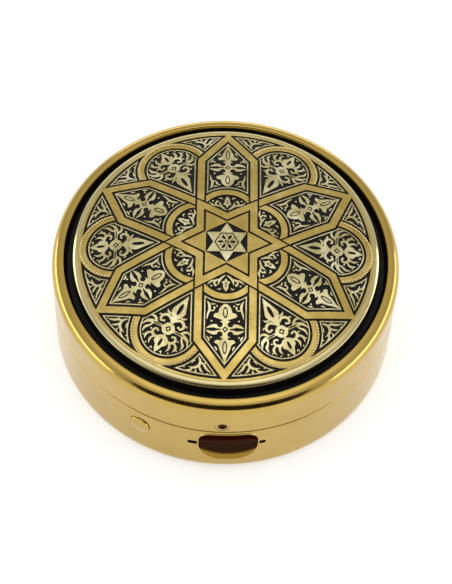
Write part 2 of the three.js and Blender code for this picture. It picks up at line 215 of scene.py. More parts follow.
STRAP_GOLD = inlay_metal("strap_gold", (0.42, 0.295, 0.075), (0.54, 0.39, 0.11), (0.68, 0.51, 0.18), 0.35)
PALE_GOLD = inlay_metal("pale_gold", (0.42, 0.35, 0.14), (0.65, 0.56, 0.29), (0.86, 0.79, 0.51), 0.4)
BEAD_GOLD = metal("bead_gold", (0.62, 0.48, 0.2), (0.78, 0.64, 0.32), 0.14, 0.24)
RIM_GOLD = metal("rim_gold", (0.52, 0.43, 0.2), (0.62, 0.53, 0.28), 0.12, 0.2)
SPRING_STEEL = metal("spring_steel", (0.34, 0.33, 0.32), (0.5, 0.49, 0.48), 0.22, 0.36, 0.4)


def mottled(name, tone, rough, grain=None, stops=(0.3, 0.7), **sockets):
    """Drifting tone and polish: (noise scale, low, high) each; grain is (scale, detail, strength, mm)."""
    look = Look(name, **sockets)
    scale, *tones = tone
    look.set("Base Color", look.ramp(look.noise(scale), list(zip(stops, tones))))
    scale, smooth, dull = rough
    look.set("Roughness", look.range(look.noise(scale), smooth, dull))
    if grain:
        scale, detail, strength, depth = grain
        look.bump((look.noise(scale, detail), strength, depth))
    return look.material


# Black steel of the medallion's ground; also laid in the lid's channel as painted shade.
BLACK_STEEL_AND_SHADE = mottled(
    "black_steel", (900.0, (0.003, 0.0025, 0.002), (0.008, 0.006, 0.005)), (2500.0, 0.4, 0.58),
    (5200.0, 2.0, 0.5, 0.02), (0.35, 0.7), Specular_IOR_Level=0.18,
)
# Painted shade: dark gold for the hollow of the staked rivet.
STAKE_PAINTED_SHADE = metal("stake_painted_shade", (0.05, 0.022, 0.008), (0.09, 0.045, 0.018), 0.3, 0.45)
# Steel of the guide strip, darkened as painted shade for the slit it shows through.
GUIDE_STEEL_PAINTED_SHADE = metal("guide_steel_painted_shade", (0.02, 0.019, 0.018), (0.045, 0.042, 0.04), 0.3, 0.45)
MIRROR = mottled(
    "mirror", (60.0, (0.86, 0.88, 0.88), (0.9, 0.92, 0.92)), (300.0, 0.01, 0.03), Metallic=1.0,
)
TRAY_PLASTIC = mottled(
    "tray_plastic", (90.0, (0.72, 0.67, 0.56), (0.78, 0.73, 0.62)), (700.0, 0.3, 0.42),
    (3500.0, 3.0, 0.15, 0.02),
)
CARD = mottled(
    "card", (1500.0, (0.16, 0.11, 0.07), (0.26, 0.19, 0.13)), (900.0, 0.85, 0.98),
    (4000.0, 3.0, 0.6, 0.05),
)


# ---- Mesh helpers ------------------------------------------------------------

def new_object(name, mesh, body, material, *replaced, slot=None):
    """A piece that rides on a body, or on none."""
    piece = bpy.data.objects.new(name, mesh)
    bpy.context.scene.collection.objects.link(piece)
    mesh.materials.append(material)
    if body:
        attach(piece, body)
    if replaced:
        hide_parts(*replaced)
    return piece


def mesh_from(name, vertices, faces, sharp_degrees=35.0):
    """A mesh in metres from millimetre vertices, faces turned outwards, smooth but for its sharp edges."""
    mesh = bpy.data.meshes.new(name)
    mesh.from_pydata([tuple(c * MM for c in v) for v in vertices], [], faces)
    work = bmesh.new()
    work.from_mesh(mesh)
    bmesh.ops.remove_doubles(work, verts=work.verts, dist=1e-8)
    bmesh.ops.recalc_face_normals(work, faces=work.faces)
    work.to_mesh(mesh)
    work.free()
    mesh.shade_smooth()
    mesh.set_sharp_from_angle(angle=math.radians(sharp_degrees))
    return mesh


def rounded(corners, closed=False):
    """Rounds (x, y, radius) corners of an outline and returns its points."""
    points = []
    count = len(corners)
    for i, corner in enumerate(corners):
        x, y, radius = (*corner, 0.0)[:3]
        at = Vector((x, y))
        if radius <= 0 or (not closed and i in (0, count - 1)):
            points.append((x, y))
            continue
        back = (Vector(corners[i - 1][:2]) - at).normalized()
        on = (Vector(corners[(i + 1) % count][:2]) - at).normalized()
        half = back.angle(on) / 2
        centre = at + (back + on).normalized() * (radius / math.sin(half))
        start = at + back * (radius / math.tan(half)) - centre
        sweep = start.angle_signed(at + on * (radius / math.tan(half)) - centre)
        steps = max(2, math.ceil(math.degrees(abs(sweep)) / 9))
        for k in range(steps + 1):
            turned_by = -sweep * k / steps
            p = centre + Matrix.Rotation(turned_by, 2) @ start
            points.append((p.x, p.y))
    return points


def split_long(points, longest):
    """Adds points so that no stretch of an open line is longer than longest."""
    out = [points[0]]
    for a, b in zip(points, points[1:]):
        steps = max(1, math.ceil(math.dist(a, b) / longest))
        for k in range(1, steps + 1):
            out.append((a[0] + (b[0] - a[0]) * k / steps, a[1] + (b[1] - a[1]) * k / steps))
    return out


def turned_mesh(name, profile, steps=ROUND_STEPS, sharp_degrees=35.0):
    """Turns (r, z) points about the Z axis. The profile runs axis to axis, or closes on itself."""
    closed = profile[0][0] > 1e-6
    rings = []
    vertices = []
    for r, z in profile:
        if r < 1e-6:
            rings.append([len(vertices)])
            vertices.append((0, 0, z))
            continue
        rings.append(range(len(vertices), len(vertices) + steps))
        for k in range(steps):
            angle = 2 * math.pi * k / steps
            vertices.append((r * math.sin(angle), -r * math.cos(angle), z))
    faces = []
    pairs = list(zip(rings, rings[1:])) + ([(rings[-1], rings[0])] if closed else [])
    for a, b in pairs:
        for k in range(steps):
            n = (k + 1) % steps
            ring = [a[k % len(a)], a[n % len(a)], b[n % len(b)], b[k % len(b)]]
            faces.append(list(dict.fromkeys(ring)))
    return mesh_from(name, vertices, faces, sharp_degrees)


def ring_faces(a, b, sides):
    """Quads between two rings of vertices, which start at a and b."""
    return [[a + k, a + (k + 1) % sides, b + (k + 1) % sides, b + k] for k in range(sides)]


def prism_mesh(name, outline, place, depth):
    """Outline points raised by depth; place(x, y, h) gives the millimetre position."""
    count = len(outline)
    vertices = [place(x, y, 0.0) for x, y in outline] + [place(x, y, depth) for x, y in outline]
    faces = [list(range(count)), list(range(2 * count - 1, count - 1, -1))]
    return mesh_from(name, vertices, faces + ring_faces(0, count, count))


def tube_mesh(name, rings):
    """Skins rings of points that all have the same count, with both ends closed."""
    sides = len(rings[0])
    vertices = [p for ring in rings for p in ring]
    faces = [list(range(sides)), [len(vertices) - 1 - k for k in range(sides)]]
    for i in range(len(rings) - 1):
        faces += ring_faces(i * sides, (i + 1) * sides, sides)
    return mesh_from(name, vertices, faces)


def radial_peg_mesh(name, profile, bearing_deg, z, steps=48):
    """Turns (radius, distance from the Z axis) points about a level radial axis."""
    mesh = turned_mesh(name, profile, steps)
    mesh.transform(Matrix.Rotation(math.radians(90), 4, "X"))
    mesh.transform(Matrix.Rotation(math.radians(bearing_deg), 4, "Z"))
    mesh.transform(Matrix.Translation((0, 0, z * MM)))
    return mesh


def boolean(mesh, cutters, operation="DIFFERENCE", sharp_degrees=35.0):
    """Joins or cuts the mesh with the cutter meshes, which are used up."""
    scratch = bpy.data.objects.new("scratch", mesh)
    bpy.context.scene.collection.objects.link(scratch)
    tools = []
    for cutter in cutters:
        tool = bpy.data.objects.new("cutter", cutter)
        bpy.context.scene.collection.objects.link(tool)
        tools.append(tool)
        modifier = scratch.modifiers.new("cut", "BOOLEAN")
        modifier.operation = operation
        modifier.solver = "EXACT"
        modifier.object = tool
    graph = bpy.context.evaluated_depsgraph_get()
    result = bpy.data.meshes.new_from_object(scratch.evaluated_get(graph))
    for tool in tools:
        bpy.data.objects.remove(tool)
    bpy.data.objects.remove(scratch)
    result.name = mesh.name
    result.shade_smooth()
    result.set_sharp_from_angle(angle=math.radians(sharp_degrees))
    return result


# ---- Case --------------------------------------------------------------------

BUTTON_LOW, BUTTON_HIGH = low("push_button"), high("push_button")
BUTTON_X = (BUTTON_LOW.x + BUTTON_HIGH.x) / 2
RIVET_BEARING = -29.5
RIVET_Z = (low("spring_rivet").z + high("spring_rivet").z) / 2
STRIKE_BEARING = -1.6
STRIKE_Z = (low("strike_rivet").z + high("strike_rivet").z) / 2
STRIKE_BORE_R = 0.62  # the hollow in the staked rivet, coloured dark as painted shade
WINDOW_GAP = 0.08
SLIT_HALF_W, SLIT_LOW_Z, SLIT_TOP_Z, SLIT_END_R = 5.0, 6.2, 7.0, 0.35
FRONT_CUT = -24, -20  # the depth that a cut through the front wall covers
RIVET_HOLE_R = 0.8
FOOT_R = 1.6  # rounding where the wall meets the underside
SHOULDER_R = 1.4  # rounding of the lid's rim
SEAM_EDGE_R = 0.16


def button_outline(grow):
    """The button's front outline as (x, z) points."""
    x0, x1 = BUTTON_LOW.x - grow, BUTTON_HIGH.x + grow
    z0, z1 = BUTTON_LOW.z - grow, BUTTON_HIGH.z + grow
    low_r, top_r = 2.85 + grow, 1.6 + grow
    return rounded([(x0, z0, low_r), (x1, z0, low_r), (x1, z1, top_r), (x0, z1, top_r)], closed=True)


def front_prism(name, outline):
    """An (x, z) outline carried through the front wall."""
    y0, y1 = FRONT_CUT
    return prism_mesh(name, outline, lambda x, z, h: (x, y0 + h, z), y1 - y0)


def rivet_hole():
    bore = [(0, 20), (RIVET_HOLE_R, 20), (RIVET_HOLE_R, 24), (0, 24)]
    return radial_peg_mesh("rivet_hole", bore, RIVET_BEARING, RIVET_Z)


def base_shell():
    """Drawn cup with the button's window, the slit and the hole for the spring's rivet."""
    profile = rounded([
        (0, 0), (CASE_R, 0, FOOT_R), (CASE_R, SEAM_Z, SEAM_EDGE_R), (INNER_R, SEAM_Z, 0.1),
        (INNER_R, 1.3, 0.2), (INNER_R - 0.7, WALL, 0.2), (0, WALL),
    ])
    shell = turned_mesh("base_shell_fine", split_long(profile, 1.2))
    slit = rounded([
        (-SLIT_HALF_W, SLIT_LOW_Z, SLIT_END_R), (SLIT_HALF_W, SLIT_LOW_Z, SLIT_END_R),
        (SLIT_HALF_W, SLIT_TOP_Z, SLIT_END_R), (-SLIT_HALF_W, SLIT_TOP_Z, SLIT_END_R),
    ], closed=True)
    cutters = [
        front_prism("window", button_outline(WINDOW_GAP)),
        front_prism("slit", slit),
        rivet_hole(),
    ]
    new_object("base_case", boolean(shell, cutters), "base", GOLD, "base_shell", slot="gold_shell")


def window_edge():
    """Rolled edge of the metal round the button window."""
    edge_r, sides, proud = 0.15, 12, 0.09
    outline = button_outline(WINDOW_GAP + edge_r - 0.04)
    line = split_long([*outline, outline[0]], 0.3)[:-1]
    vertices, faces = [], []
    for i, (x, z) in enumerate(line):
        along = (Vector(line[(i + 1) % len(line)]) - Vector(line[i - 1])).normalized()
        out = Vector((x, -math.sqrt(CASE_R ** 2 - x * x), 0)) / CASE_R
        across = out.cross(Vector((along.x, 0, along.y))).normalized()
        centre = out * (CASE_R - edge_r + proud) + Vector((0, 0, z))
        for k in range(sides):
            a = 2 * math.pi * k / sides
            vertices.append(tuple(centre + (out * math.cos(a) + across * math.sin(a)) * edge_r))
    for i in range(len(line)):
        faces += ring_faces(i * sides, (i + 1) % len(line) * sides, sides)
    new_object("window_edge", mesh_from("edge", vertices, faces, 60), "base", GOLD, slot="gold_shell")


def lid_shell():
    """Lid with a rounded rim; the channel round the medallion is painted black as painted shade for the dark
    recess.
    """
    deck_low = DECK_Z - WALL
    profile = rounded([
        (0, deck_low), (INNER_R - 0.6, deck_low), (INNER_R, deck_low - 0.6), (INNER_R, LID_Z, 0.1),
        (CASE_R, LID_Z, SEAM_EDGE_R), (CASE_R, RIM_Z, SHOULDER_R), (BEZEL_R + 0.27, RIM_Z, 0.3),
        (BEZEL_R, RIM_Z - 0.38, 0.18), (BEZEL_R - 0.15, DECK_Z, 0.2), (0, DECK_Z),
    ])
    shell = turned_mesh("lid_shell_fine", split_long(profile, 1.2))
    sink = [(0, 21), (0.6, 21), (0.6, 22.15), (0.95, 22.15), (0.95, 23), (0, 23)]
    hole = radial_peg_mesh("strike_hole", sink, STRIKE_BEARING, STRIKE_Z)
    lid = new_object("lid_case", boolean(shell, [hole]), "lid", GOLD, "lid_shell", slot="gold_shell")
    # The channel's faces take the black material: painted shade in the recess round the medallion.
    lid.data.materials.append(BLACK_STEEL_AND_SHADE)
    for face in lid.data.polygons:
        spot = face.center / MM
        in_shaded_channel = math.hypot(spot.x, spot.y) < BEZEL_R and DECK_Z - 0.01 < spot.z < RIM_Z - 0.3
        face.material_index = 1 if in_shaded_channel else 0


def rivets():
    """The spring's domed rivet on the base and the strike's staked rivet on the lid."""
    head = rounded([
        (0, 21.2), (1.0, 21.2, 0.1), (1.0, 21.5), (0.7, 21.5), (0.7, 22.52), (1.45, 22.52),
        (1.42, 22.66, 0.06), (0.7, 22.78, 1.0), (0, 22.8),
    ])
    mesh = radial_peg_mesh("spring_rivet_fine", head, RIVET_BEARING, RIVET_Z)
    new_object("spring_rivet_head", mesh, "base", GOLD, "spring_rivet", slot="gold_shell")
    stake = rounded([
        (0, 21.45), (0.5, 21.45), (0.5, 22.05), (0.9, 22.05), (0.9, 22.46),
        (0.64, 22.46, 0.06), (0.4, 22.16, 0.2), (0, 22.12),
    ])
    mesh = radial_peg_mesh("strike_rivet_fine", stake, STRIKE_BEARING, STRIKE_Z)
    head = new_object("strike_rivet_head", mesh, "lid", GOLD, "strike_rivet", slot="gold_shell")
    # Faces in the rivet's hollow take the dark material: painted shade.
    head.data.materials.append(STAKE_PAINTED_SHADE)
    axis = outward(STRIKE_BEARING)
    for face in head.data.polygons:
        arm = face.center / MM - Vector((0, 0, STRIKE_Z))
        off_axis = (arm - axis * arm.dot(axis)).length
        face.material_index = 1 if off_axis < STRIKE_BORE_R else 0


# ---- Medallion: strapwork ----------------------------------------------------

# Levels of the pattern, in millimetres.
STAR_IN, STAR_OUT = 2.99, 3.90  # inner and outer lines of the six-pointed star
PETAL_TIP = 19.0
PETAL_SHOULDER = 13.88
STRAP = STAR_OUT - STAR_IN
LOBE_AT, LOBE_IN, LOBE_OUT = 4.33, 3.26, 4.06
ARCH_AT, ARCH_IN, ARCH_OUT = 14.12, 3.93, 4.79
EDGE_R = 18.7  # a plain border runs from here to the rim
CUT = 0.28  # black line beside a strap
STAR_CUT = 0.24  # black line round the star
THREAD_IN, THREAD_OUT = 0.46, 0.32  # both sides of the thin thread inside each panel
LOW_INLAY = 0.02  # threads and foliage lie this much lower than the straps
PATTERN_TURN = -1.6  # the pattern sits a little off the button's line

OUTER_R = INLAY_R - 0.02
HEXAGON = (STAR_IN - CUT) * 0.985  # from the centre to a side of the hexagon left open in the star
COS_30 = math.cos(math.radians(30))
ARCH_SPRING = PETAL_SHOULDER * COS_30 + STAR_OUT / 2  # where the arch leaves the petals
TIP_SLOPE = Vector((PETAL_TIP - PETAL_SHOULDER, STAR_OUT)).normalized()
TIP_LINE = TIP_SLOPE.y * PETAL_TIP


def petal_level(u, v, half, line):
    """How far a point is outside a petal's outline: negative inside."""
    return max(abs(u) - half, TIP_SLOPE.x * abs(u) + TIP_SLOPE.y * v - line)


def petal_outline(half, line, low_v=4.0):
    shoulder = (line - TIP_SLOPE.x * half) / TIP_SLOPE.y
    return [(-half, low_v), (half, low_v), (half, shoulder), (0, line / TIP_SLOPE.y), (-half, shoulder)]


def polar(r, degrees):
    return r * math.cos(math.radians(degrees)), r * math.sin(math.radians(degrees))


def reaches(x, y):
    """How far a point lies along each of six directions."""
    return [x * math.cos(math.radians(a)) + y * math.sin(math.radians(a)) for a in range(0, 360, 60)]


def star_level(x, y):
    """Size of the six-pointed star whose outline passes through a point."""
    reach = reaches(x, y)
    return min(max(reach[0::2]), max(reach[1::2]))


def star_outline(level):
    corners = (2 * level, 0), (level / COS_30, 30)
    return [polar(r, 60 * k + a) for k in range(6) for r, a in corners]


def hexagon_level(x, y):
    """Size of the hexagon through a point; its corners point to the petals."""
    return max(reaches(x, y))


def hexagon_outline(radius, turn=0):
    return [polar(radius, 60 * k + turn) for k in range(6)]


def circle(x, y, r, spacing=0.3):
    count = max(12, math.ceil(2 * math.pi * r / spacing))
    angles = [2 * math.pi * k / count for k in range(count)]
    return [(x + r * math.cos(a), y + r * math.sin(a)) for a in angles]


def rotated(points, degrees):
    c, s = math.cos(math.radians(degrees)), math.sin(math.radians(degrees))
    return [(c * x - s * y, s * x + c * y) for x, y in points]


def pattern_label(x, y):
    """What lies at a point of the pattern: strap, thread or None for the black ground."""
    radius = math.hypot(x, y)
    bearing = math.degrees(math.atan2(y, x))
    level = star_level(x, y)
    if radius > EDGE_R:
        return "strap" if radius < OUTER_R else None
    if level < STAR_IN - CUT:
        return None if hexagon_level(x, y) < HEXAGON else "strap"
    if level < STAR_IN:
        return None
    if level < STAR_OUT:
        return "strap"
    if level < STAR_OUT + STAR_CUT:
        return None
    petal = 60 * round((bearing - 90) / 60) + 90
    u, v = rotated([(x, y)], 90 - petal)[0]
    outer = petal_level(u, v, STAR_OUT, TIP_LINE)
    inner = petal_level(u, v, STAR_IN, TIP_LINE - STRAP)
    if outer < 0:
        if inner > 0:
            return "strap"
        lobe = math.hypot(u, v - LOBE_AT)
        if lobe < LOBE_IN or inner > -STAR_CUT:
            return None
        if lobe < LOBE_OUT:
            return "strap"
        depth = max(inner, LOBE_OUT - lobe)
        return "thread" if -THREAD_IN < depth < -THREAD_OUT else None
    if outer < CUT:
        return None
    arch = 60 * round(bearing / 60)
    a, b = rotated([(x, y)], 90 - arch)[0]
    ring = math.hypot(a, b - ARCH_AT)
    if b < ARCH_SPRING:
        depth = -outer
    elif ARCH_IN < ring < ARCH_OUT:
        return "strap"
    elif ring < ARCH_IN:
        depth = max(-outer, ring - ARCH_IN)
    else:
        depth = max(-outer, ARCH_OUT - ring, radius - EDGE_R)
    return "thread" if -THREAD_IN < depth < -THREAD_OUT else None


def strapwork_outlines():
    """Every line of the pattern along which gold and black meet."""
    steps = (0, THREAD_OUT, THREAD_IN)
    lines = [star_outline(c) for c in (STAR_IN - CUT, STAR_IN, STAR_OUT, STAR_OUT + STAR_CUT)]
    lines += [circle(0, 0, r) for r in (OUTER_R, EDGE_R, EDGE_R - THREAD_OUT, EDGE_R - THREAD_IN)]
    lines.append(hexagon_outline(HEXAGON / COS_30, 30))
    for k in range(6):
        local = [petal_outline(STAR_OUT + g, TIP_LINE + g) for g in (0, CUT, THREAD_OUT, THREAD_IN)]
        inner = (0, STAR_CUT, THREAD_OUT, THREAD_IN)
        local += [petal_outline(STAR_IN - g, TIP_LINE - STRAP - g) for g in inner]
        local += [circle(0, LOBE_AT, r) for r in (LOBE_IN, *(LOBE_OUT + g for g in steps))]
        lines += [rotated(line, 60 * k) for line in local]
        rings = [ARCH_IN - THREAD_IN, ARCH_IN - THREAD_OUT, ARCH_IN, *(ARCH_OUT + g for g in steps)]
        lines += [rotated(circle(0, ARCH_AT, r), 60 * k + 30) for r in rings]
    return lines


def triangulate(outlines, longest=0.6):
    """Triangles that follow every closed outline: (points, triangles, the outlines each one is inside)."""
    coords, faces = [], []
    for line in outlines:
        dense = split_long([*line, line[0]], longest)[:-1]
        if sum(a[0] * b[1] - b[0] * a[1] for a, b in zip(dense, [*dense[1:], dense[0]])) < 0:
            dense.reverse()
        faces.append(list(range(len(coords), len(coords) + len(dense))))
        coords += [Vector(p) for p in dense]
    points, _, triangles, _, _, inside = delaunay_2d_cdt(coords, [], faces, 1, 1e-5)
    return points, triangles, inside


def inlay_mesh(name, points, triangles, top_drop, low_drop, turns=(0,), mirror=False):
    """Raises flat triangles to the dome as closed thin pieces, repeated at the given turns."""
    vertices, faces = [], []
    used = sorted({i for t in triangles for i in t})
    index = {old: new for new, old in enumerate(used)}
    edges = {}
    for t in triangles:
        for a, b in zip(t, (*t[1:], t[0])):
            edges[(a, b)] = t
    rim = [(a, b) for a, b in edges if (b, a) not in edges]
    tops = []
    for flip in ((1, -1) if mirror else (1,)):
        for turn in turns:
            flat = rotated([(flip * points[i].x, points[i].y) for i in used], turn + PATTERN_TURN)
            start = len(vertices)
            vertices += [(x, y, dome_z(math.hypot(x, y), top_drop)) for x, y in flat]
            vertices += [(x, y, dome_z(math.hypot(x, y), low_drop)) for x, y in flat]
            under = start + len(used)
            for t in triangles:
                up = [start + index[i] for i in t]
                down = [under + index[i] for i in t]
                faces.append(up if flip > 0 else up[::-1])
                tops.append(True)
                faces.append(down[::-1] if flip > 0 else down)
                tops.append(False)
            for a, b in rim:
                wall = [start + index[b], start + index[a], under + index[a], under + index[b]]
                faces.append(wall if flip > 0 else wall[::-1])
                tops.append(False)
    mesh = bpy.data.meshes.new(name)
    mesh.from_pydata([tuple(c * MM for c in v) for v in vertices], [], faces)
    centre = Vector((0, 0, (DOME_TOP_Z - DOME_RADIUS) * MM))
    normals = []
    for face, top in zip(mesh.polygons, tops):
        for i in face.vertices:
            normals.append((mesh.vertices[i].co - centre).normalized() if top else face.normal.copy())
    mesh.polygons.foreach_set("material_index", [int(not top) for top in tops])
    mesh.shade_smooth()
    mesh.normals_split_custom_set(normals)
    return mesh


def inlay(name, mesh, material, *replaced):
    """An inlay piece whose sides and underside take the black ground's material."""
    piece = new_object(name, mesh, "lid", material, *replaced, slot="inlay_gold")
    piece.data.materials.append(BLACK_STEEL_AND_SHADE)


def strapwork():
    """Straps, and the thin threads that lie a little lower inside the panels."""
    points, triangles, _ = triangulate(strapwork_outlines())
    groups = {"strap": [], "thread": []}
    for t in triangles:
        centre = sum((points[i] for i in t), Vector((0, 0))) / 3
        label = pattern_label(centre.x, centre.y)
        if label:
            groups[label].append(t)
    straps = inlay_mesh("straps", points, groups["strap"], 0.0, INLAY_T)
    threads = inlay_mesh("threads", points, groups["thread"], LOW_INLAY, INLAY_T)
    inlay("inlay_straps", straps, STRAP_GOLD, "medallion_inlay")
    inlay("inlay_threads", threads, PALE_GOLD)


# ---- Medallion: foliage ------------------------------------------------------

def catmull_rom(a, b, c, d, t):
    square, cube = 2 * a - 5 * b + 4 * c - d, 3 * b - a - 3 * c + d
    return 0.5 * (2 * b + (c - a) * t + square * t * t + cube * t ** 3)


def smooth_line(points, steps=6):
    """Catmull-Rom line through points, each any number of values."""
    ends = [points[0], *points, points[-1]]
    out = []
    for i in range(1, len(ends) - 2):
        p0, p1, p2, p3 = ends[i - 1:i + 3]
        for k in range(steps):
            t = k / steps
            out.append(tuple(catmull_rom(*values, t) for values in zip(p0, p1, p2, p3)))
    out.append(tuple(points[-1]))
    return out


def stroke(points, widths, ball=0.0):
    """A leaf or stem along points with its width at each, as one outline, and an optional ball end."""
    line = smooth_line([(*p, w) for p, w in zip(points, widths)])
    left, right = [], []
    for i, (x, y, w) in enumerate(line):
        before, after = line[max(i - 1, 0)], line[min(i + 1, len(line) - 1)]
        along = Vector((after[0] - before[0], after[1] - before[1])).normalized()
        half = max(w, 0.02) / 2
        left.append((x - along.y * half, y + along.x * half))
        right.append((x + along.y * half, y - along.x * half))
    shapes = [left + right[::-1]]
    if ball:
        shapes.append(circle(*points[-1], ball, 0.12))
    return shapes


def strokes(*lines):
    return [shape for line in lines for shape in stroke(*line)]


def both_sides(half):
    """A shape that is symmetric about the axis, from its right half, bottom to top."""
    line = smooth_line(half, 4)
    return line + [(-x, y) for x, y in reversed(line) if x > 1e-6]


def almond(x, y, half_w, half_h):
    """An upright oval."""
    angles = [math.pi * k / 8 for k in range(9)]
    right = [(x + half_w * math.sin(a), y - half_h * math.cos(a)) for a in angles]
    left = [(2 * x - a, b) for a, b in reversed(right[1:-1])]
    return right + left


def rotated_square(x, y, half):
    """A square standing on a corner."""
    return [(x + half, y), (x, y + half), (x - half, y), (x, y - half)]


def almond_across(x, y, half_w, half_h):
    """An oval lying across the axis."""
    return [(x + a, y + b) for b, a in almond(0, 0, half_h, half_w)]


def dot(x, y, r):
    return circle(x, y, r, 0.1)


def mirrored(shapes):
    return shapes + [[(-x, y) for x, y in shape] for shape in shapes]


def petal_foliage():
    """Two upright leaves joined by a boss, with curls beside them: (gold, black on it, gold on that)."""
    upper = [
        (0, 13.2), (0.2, 13.5), (0.5, 13.8), (1.05, 13.78), (1.3, 14.1), (0.86, 14.42), (0.72, 14.8),
        (0.5, 15.4), (0.18, 16.2), (0, 17.1),
    ]
    lower = [
        (0, 8.98), (0.34, 9.12), (0.74, 9.6), (0.9, 10.15), (1.32, 10.3), (1.46, 10.72),
        (0.9, 10.98), (0.3, 11.2), (0, 11.5),
    ]
    gold = [both_sides(upper), both_sides(lower), circle(0, 12.4, 1.22, 0.2)]
    leaf = [0.4, 0.46, 0.32, 0.02]
    side = stroke([(0.7, 12.72), (1.4, 12.86), (1.95, 12.74), (2.42, 12.52)], leaf)
    side += stroke([(0.7, 12.08), (1.4, 11.94), (1.95, 12.06), (2.42, 12.28)], leaf)
    stem = [(2.3, 8.6), (2.04, 9.1), (2.0, 9.75), (2.2, 10.4), (2.3, 11.1)]
    side += stroke(stem, [0.05, 0.3, 0.28, 0.22, 0.02])
    side += strokes(
        ([(2.02, 9.6), (1.74, 9.92), (1.44, 9.82), (1.38, 9.5)], [0.22, 0.17, 0.15, 0.13], 0.15),
        ([(1.25, 8.95), (1.55, 9.05), (1.85, 8.88)], [0.04, 0.18, 0.04]),
        ([(1.98, 13.95), (2.05, 13.6), (2.38, 13.25)], [0.05, 0.24, 0.02]),
        ([(1.3, 14.6), (1.08, 14.85), (1.0, 15.2)], [0.04, 0.2, 0.02]),
    )
    side += [dot(1.08, 9.3, 0.12), dot(1.72, 11.3, 0.12), dot(1.75, 13.45, 0.12)]
    side += [dot(0.66, 15.95, 0.1)]
    gold += mirrored(side)
    black = [almond(0, 14.75, 0.3, 0.85), almond(0, 10.15, 0.33, 0.76), rotated_square(0, 12.4, 0.4)]
    cuts = [dot(0.66, 13.04, 0.36), dot(0.66, 11.76, 0.36), almond_across(1.5, 12.4, 0.98, 0.15)]
    cuts += strokes(
        ([(0.7, 13.1), (0.95, 13.3), (1.3, 13.32)], [0.24, 0.2, 0.1]),
        ([(0.7, 11.7), (0.95, 11.5), (1.3, 11.48)], [0.24, 0.2, 0.1]),
    )
    black += mirrored(cuts)
    gold_top = [almond(0, 14.75, 0.15, 0.66), almond(0, 10.15, 0.18, 0.56), circle(0, 12.4, 0.16, 0.08)]
    return gold, black, gold_top


def arch_foliage():
    """A spear below and a bud above a boss, with scrolls that fan out to the arch."""
    spear = [
        (0, 9.2), (0.3, 10.0), (0.66, 10.9), (0.9, 11.6), (0.72, 12.2), (0.34, 12.7), (0.3, 13.2), (0, 13.4),
    ]
    bud = [
        (0, 15.0), (0.3, 15.25), (0.34, 15.6), (0.8, 15.85), (0.86, 16.25),
        (0.5, 16.6), (0.3, 17.1), (0, 17.6),
    ]
    gold = [both_sides(spear), both_sides(bud), circle(0, 14.2, 0.82, 0.2)]
    low_curl = [(0.3, 12.95), (0.8, 12.62), (1.32, 12.72), (1.62, 13.16), (1.4, 13.6), (1.05, 13.5)]
    side = stroke(low_curl, [0.3, 0.36, 0.36, 0.34, 0.26, 0.2], 0.16)
    top_curl = [(0.3, 15.3), (0.82, 15.72), (1.36, 15.62), (1.62, 15.18), (1.36, 14.8), (1.05, 14.92)]
    side += stroke(top_curl, [0.3, 0.34, 0.36, 0.32, 0.24, 0.2], 0.15)
    arm = [(0.6, 14.2), (1.5, 14.2), (2.3, 14.2), (2.95, 14.5), (3.36, 15.3)]
    side += stroke(arm, [0.34, 0.36, 0.46, 0.34, 0.02])
    side += strokes(
        ([(0.7, 12.3), (1.15, 12.2), (1.45, 11.9)], [0.2, 0.26, 0.02]),
        ([(1.75, 14.05), (2.1, 13.66), (2.5, 13.5), (2.95, 13.72)], [0.25, 0.34, 0.26, 0.02]),
        ([(1.55, 13.0), (1.85, 12.9), (2.1, 13.1)], [0.1, 0.2, 0.02]),
        ([(0.9, 15.7), (1.3, 16.05), (1.4, 16.45), (1.2, 16.95)], [0.2, 0.28, 0.28, 0.02]),
        ([(1.5, 15.5), (1.95, 15.7), (2.15, 16.1), (2.0, 16.65)], [0.2, 0.28, 0.3, 0.02]),
        ([(2.1, 14.35), (2.35, 14.85), (2.75, 15.3), (2.75, 16.0)], [0.2, 0.26, 0.32, 0.02]),
        ([(0.5, 17.35), (0.72, 17.12), (0.85, 17.5)], [0.04, 0.18, 0.02]),
    )
    side += [dot(1.62, 16.95, 0.11), dot(2.42, 16.2, 0.1), dot(1.95, 15.1, 0.12)]
    gold += mirrored(side)
    black = [almond(0, 11.3, 0.26, 0.85), almond(0, 16.15, 0.2, 0.55), rotated_square(0, 14.2, 0.42)]
    black += mirrored([almond_across(1.55, 14.2, 0.65, 0.09)])
    gold_top = [circle(0, 14.2, 0.17, 0.08)]
    return gold, black, gold_top


def lunette_foliage():
    """A small bud with a scroll on each side."""
    gold = [both_sides([(0, 5.35), (0.2, 5.75), (0.52, 5.95), (0.34, 6.3), (0.3, 6.8), (0, 7.3)])]
    side = stroke([(0.1, 5.0), (0.5, 5.3), (0.85, 5.75), (0.98, 6.4)], [0.12, 0.24, 0.3, 0.02])
    side += strokes(
        ([(0.8, 5.6), (1.25, 5.7), (1.5, 6.1), (1.3, 6.4)], [0.16, 0.24, 0.22, 0.16], 0.17),
        ([(1.35, 5.7), (1.85, 5.85), (2.4, 6.35)], [0.1, 0.26, 0.02]),
        ([(0.62, 6.75), (0.8, 7.0), (1.15, 6.9)], [0.05, 0.2, 0.02]),
    )
    side += [dot(1.85, 6.5, 0.12)]
    return gold + mirrored(side), [almond(0, 6.3, 0.12, 0.4)], [almond(0, 6.3, 0.04, 0.22)]


